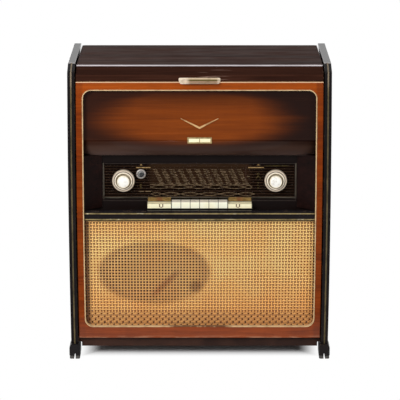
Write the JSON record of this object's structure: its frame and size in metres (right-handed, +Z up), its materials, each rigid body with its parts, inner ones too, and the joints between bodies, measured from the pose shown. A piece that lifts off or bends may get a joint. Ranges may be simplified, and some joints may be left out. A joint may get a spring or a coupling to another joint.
{
  "type": "gramophone cabinet",
  "caption": "Console radiogram: bowed veneered cabinet with a hinged lid over a record changer, a dial with keys and double knobs, and a cloth-covered loudspeaker.",
  "frame": {"origin": "on the floor, under the middle of the bounding box of the closed cabinet", "axes": "+X to the right seen from the front, -Y to the front, +Z up"},
  "size_m": [0.67, 0.376, 0.766],
  "materials": {
    "black_lacquer": "gloss lacquer",
    "mahogany": "polished veneer",
    "walnut": "polished veneer",
    "dark_mahogany": "gloss lacquer",
    "brown_paint": "painted",
    "plywood": "plain",
    "hardboard": "plain",
    "gilt": "satin gilt",
    "brass": "polished",
    "ivory": "gloss",
    "champagne": "gloss",
    "bakelite": "gloss",
    "dial_glass": "printed on the back",
    "eye_glass": "gloss",
    "valve_glass": "gloss",
    "nickel": "satin",
    "steel": "plain",
    "black_iron": "black",
    "cream_enamel": "enamel",
    "grey_fibre": "matt",
    "rubber": "matt",
    "speaker_cloth": "woven",
    "cone_paper": "felted"
  },
  "bodies": {
    "cabinet": {"side_panel_left": "black_lacquer", "side_panel_right": "black_lacquer", "edge_strips": "gilt", "feet": "black_lacquer", "glide_pads": "grey_fibre", "bottom_board": "brown_paint", "rear_rail": "plywood", "back_panel": "hardboard", "back_screws": "brass", "front_frame": "mahogany", "aperture_bead": "gilt", "top_strip": "brass", "upper_panel": "walnut", "chevron_trim": "brass", "plate_frame": "brass", "plate_inlays": "ivory", "divider_rail": "black_lacquer", "rail_strips": "gilt", "dial_surround": "black_lacquer", "recess_cheeks": "black_lacquer", "dial_backplate": "bakelite", "dial_glass": "dial_glass", "eye_bezel": "nickel", "eye_tube": "eye_glass", "key_axle": "steel", "radio_chassis": "steel", "valves": "valve_glass", "transformers": "black_iron", "chassis_shelf": "plywood", "baffle_board": "plywood", "grille_cloth": "speaker_cloth", "speaker_basket": "black_iron", "speaker_cone": "cone_paper", "motor_board": "plywood", "changer_plate": "cream_enamel", "spindle": "steel", "case_hinges": "brass", "stay_stud": "steel"},
    "lid": {"lid": "dark_mahogany", "lid_handle": "brass", "lid_hinges": "brass"},
    "lid_stay": {"lid_stay": "brass"},
    "key_1": {"key_1": "ivory"},
    "key_2": {"key_2": "ivory"},
    "key_3": {"key_3": "ivory"},
    "key_4": {"key_4": "ivory"},
    "key_5": {"key_5": "ivory"},
    "key_6": {"key_6": "ivory"},
    "tone_key_left": {"tone_key_left": "ivory"},
    "tone_key_right": {"tone_key_right": "ivory"},
    "volume_knob": {"volume_knob": "ivory"},
    "balance_ring": {"balance_ring": "champagne"},
    "tuning_knob": {"tuning_knob": "ivory"},
    "tuning_ring": {"tuning_ring": "champagne"},
    "dial_pointer": {"dial_pointer": "brass"},
    "platter": {"platter": "cream_enamel", "platter_mat": "rubber"},
    "arm_yoke": {"arm_yoke": "nickel"},
    "tonearm": {"tonearm": "ivory"},
    "control_lever": {"control_lever": "ivory"}
  },
  "joints": [
    {"name": "lid_hinge", "type": "hinge", "parent": "cabinet", "child": "lid", "pos_m": [0, 0.1842, 0.728], "axis": [-1, 0, 0], "range_deg": [0, 70]},
    {"name": "lid_stay_swing", "type": "hinge", "parent": "lid", "child": "lid_stay", "pos_m": [-0.2938, 0.12634, 0.73205], "axis": [-1, 0, 0], "range_deg": [-35, 0]},
    {"name": "key_1_press", "type": "hinge", "parent": "cabinet", "child": "key_1", "pos_m": [0, -0.074, 0.404], "axis": [1, 0, 0], "range_deg": [0, 4], "stiffness_Nm_per_rad": 0.3, "springref_deg": -17.19},
    {"name": "key_2_press", "type": "hinge", "parent": "cabinet", "child": "key_2", "pos_m": [0, -0.074, 0.404], "axis": [1, 0, 0], "range_deg": [0, 4], "stiffness_Nm_per_rad": 0.3, "springref_deg": -17.19},
    {"name": "key_3_press", "type": "hinge", "parent": "cabinet", "child": "key_3", "pos_m": [0, -0.074, 0.404], "axis": [1, 0, 0], "range_deg": [0, 4], "stiffness_Nm_per_rad": 0.3, "springref_deg": -17.19},
    {"name": "key_4_press", "type": "hinge", "parent": "cabinet", "child": "key_4", "pos_m": [0, -0.074, 0.404], "axis": [1, 0, 0], "range_deg": [0, 4], "stiffness_Nm_per_rad": 0.3, "springref_deg": -17.19},
    {"name": "key_5_press", "type": "hinge", "parent": "cabinet", "child": "key_5", "pos_m": [0, -0.074, 0.404], "axis": [1, 0, 0], "range_deg": [0, 4], "stiffness_Nm_per_rad": 0.3, "springref_deg": -17.19},
    {"name": "key_6_press", "type": "hinge", "parent": "cabinet", "child": "key_6", "pos_m": [0, -0.074, 0.404], "axis": [1, 0, 0], "range_deg": [0, 4], "stiffness_Nm_per_rad": 0.3, "springref_deg": -17.19},
    {"name": "tone_key_left_press", "type": "hinge", "parent": "cabinet", "child": "tone_key_left", "pos_m": [0, -0.074, 0.404], "axis": [1, 0, 0], "range_deg": [0, 4], "stiffness_Nm_per_rad": 0.3, "springref_deg": -17.19},
    {"name": "tone_key_right_press", "type": "hinge", "parent": "cabinet", "child": "tone_key_right", "pos_m": [0, -0.074, 0.404], "axis": [1, 0, 0], "range_deg": [0, 4], "stiffness_Nm_per_rad": 0.3, "springref_deg": -17.19},
    {"name": "volume_turn", "type": "hinge", "parent": "cabinet", "child": "volume_knob", "pos_m": [-0.1932, -0.1225, 0.4646], "axis": [0, -1, 0], "range_deg": [-270, 0]},
    {"name": "balance_turn", "type": "hinge", "parent": "cabinet", "child": "balance_ring", "pos_m": [-0.1932, -0.1225, 0.4646], "axis": [0, -1, 0], "range_deg": [-150, 150]},
    {"name": "tuning_turn", "type": "hinge", "parent": "cabinet", "child": "tuning_knob", "pos_m": [0.1932, -0.1225, 0.4646], "axis": [0, -1, 0], "range_deg": [0, 1565]},
    {"name": "pointer_slide", "type": "slide", "parent": "cabinet", "child": "dial_pointer", "axis": [1, 0, 0], "range_m": [-0.2355, 0]},
    {"name": "tuning_ring_turn", "type": "hinge", "parent": "cabinet", "child": "tuning_ring", "pos_m": [0.1932, -0.1225, 0.4646], "axis": [0, -1, 0], "range_deg": [-150, 150]},
    {"name": "platter_spin", "type": "hinge", "parent": "cabinet", "child": "platter", "pos_m": [-0.025, 0.006, 0.64], "axis": [0, 0, -1], "continuous": true},
    {"name": "arm_swing", "type": "hinge", "parent": "cabinet", "child": "arm_yoke", "pos_m": [0.138, 0.091, 0.64], "axis": [0, 0, -1], "range_deg": [0, 46]},
    {"name": "arm_lift", "type": "hinge", "parent": "arm_yoke", "child": "tonearm", "pos_m": [0.138, 0.091, 0.686], "axis": [-1, 0, 0], "range_deg": [0, 12]},
    {"name": "lever_turn", "type": "hinge", "parent": "cabinet", "child": "control_lever", "pos_m": [-0.138, -0.106, 0.64], "axis": [0, 0, 1], "range_deg": [-25, 25]}
  ],
  "couplings": [
    {"joint": "lid_stay_swing", "follows": "lid_hinge", "ratio": -0.5},
    {"joint": "pointer_slide", "follows": "tuning_turn", "m_per_rad": -0.0086}
  ]
}
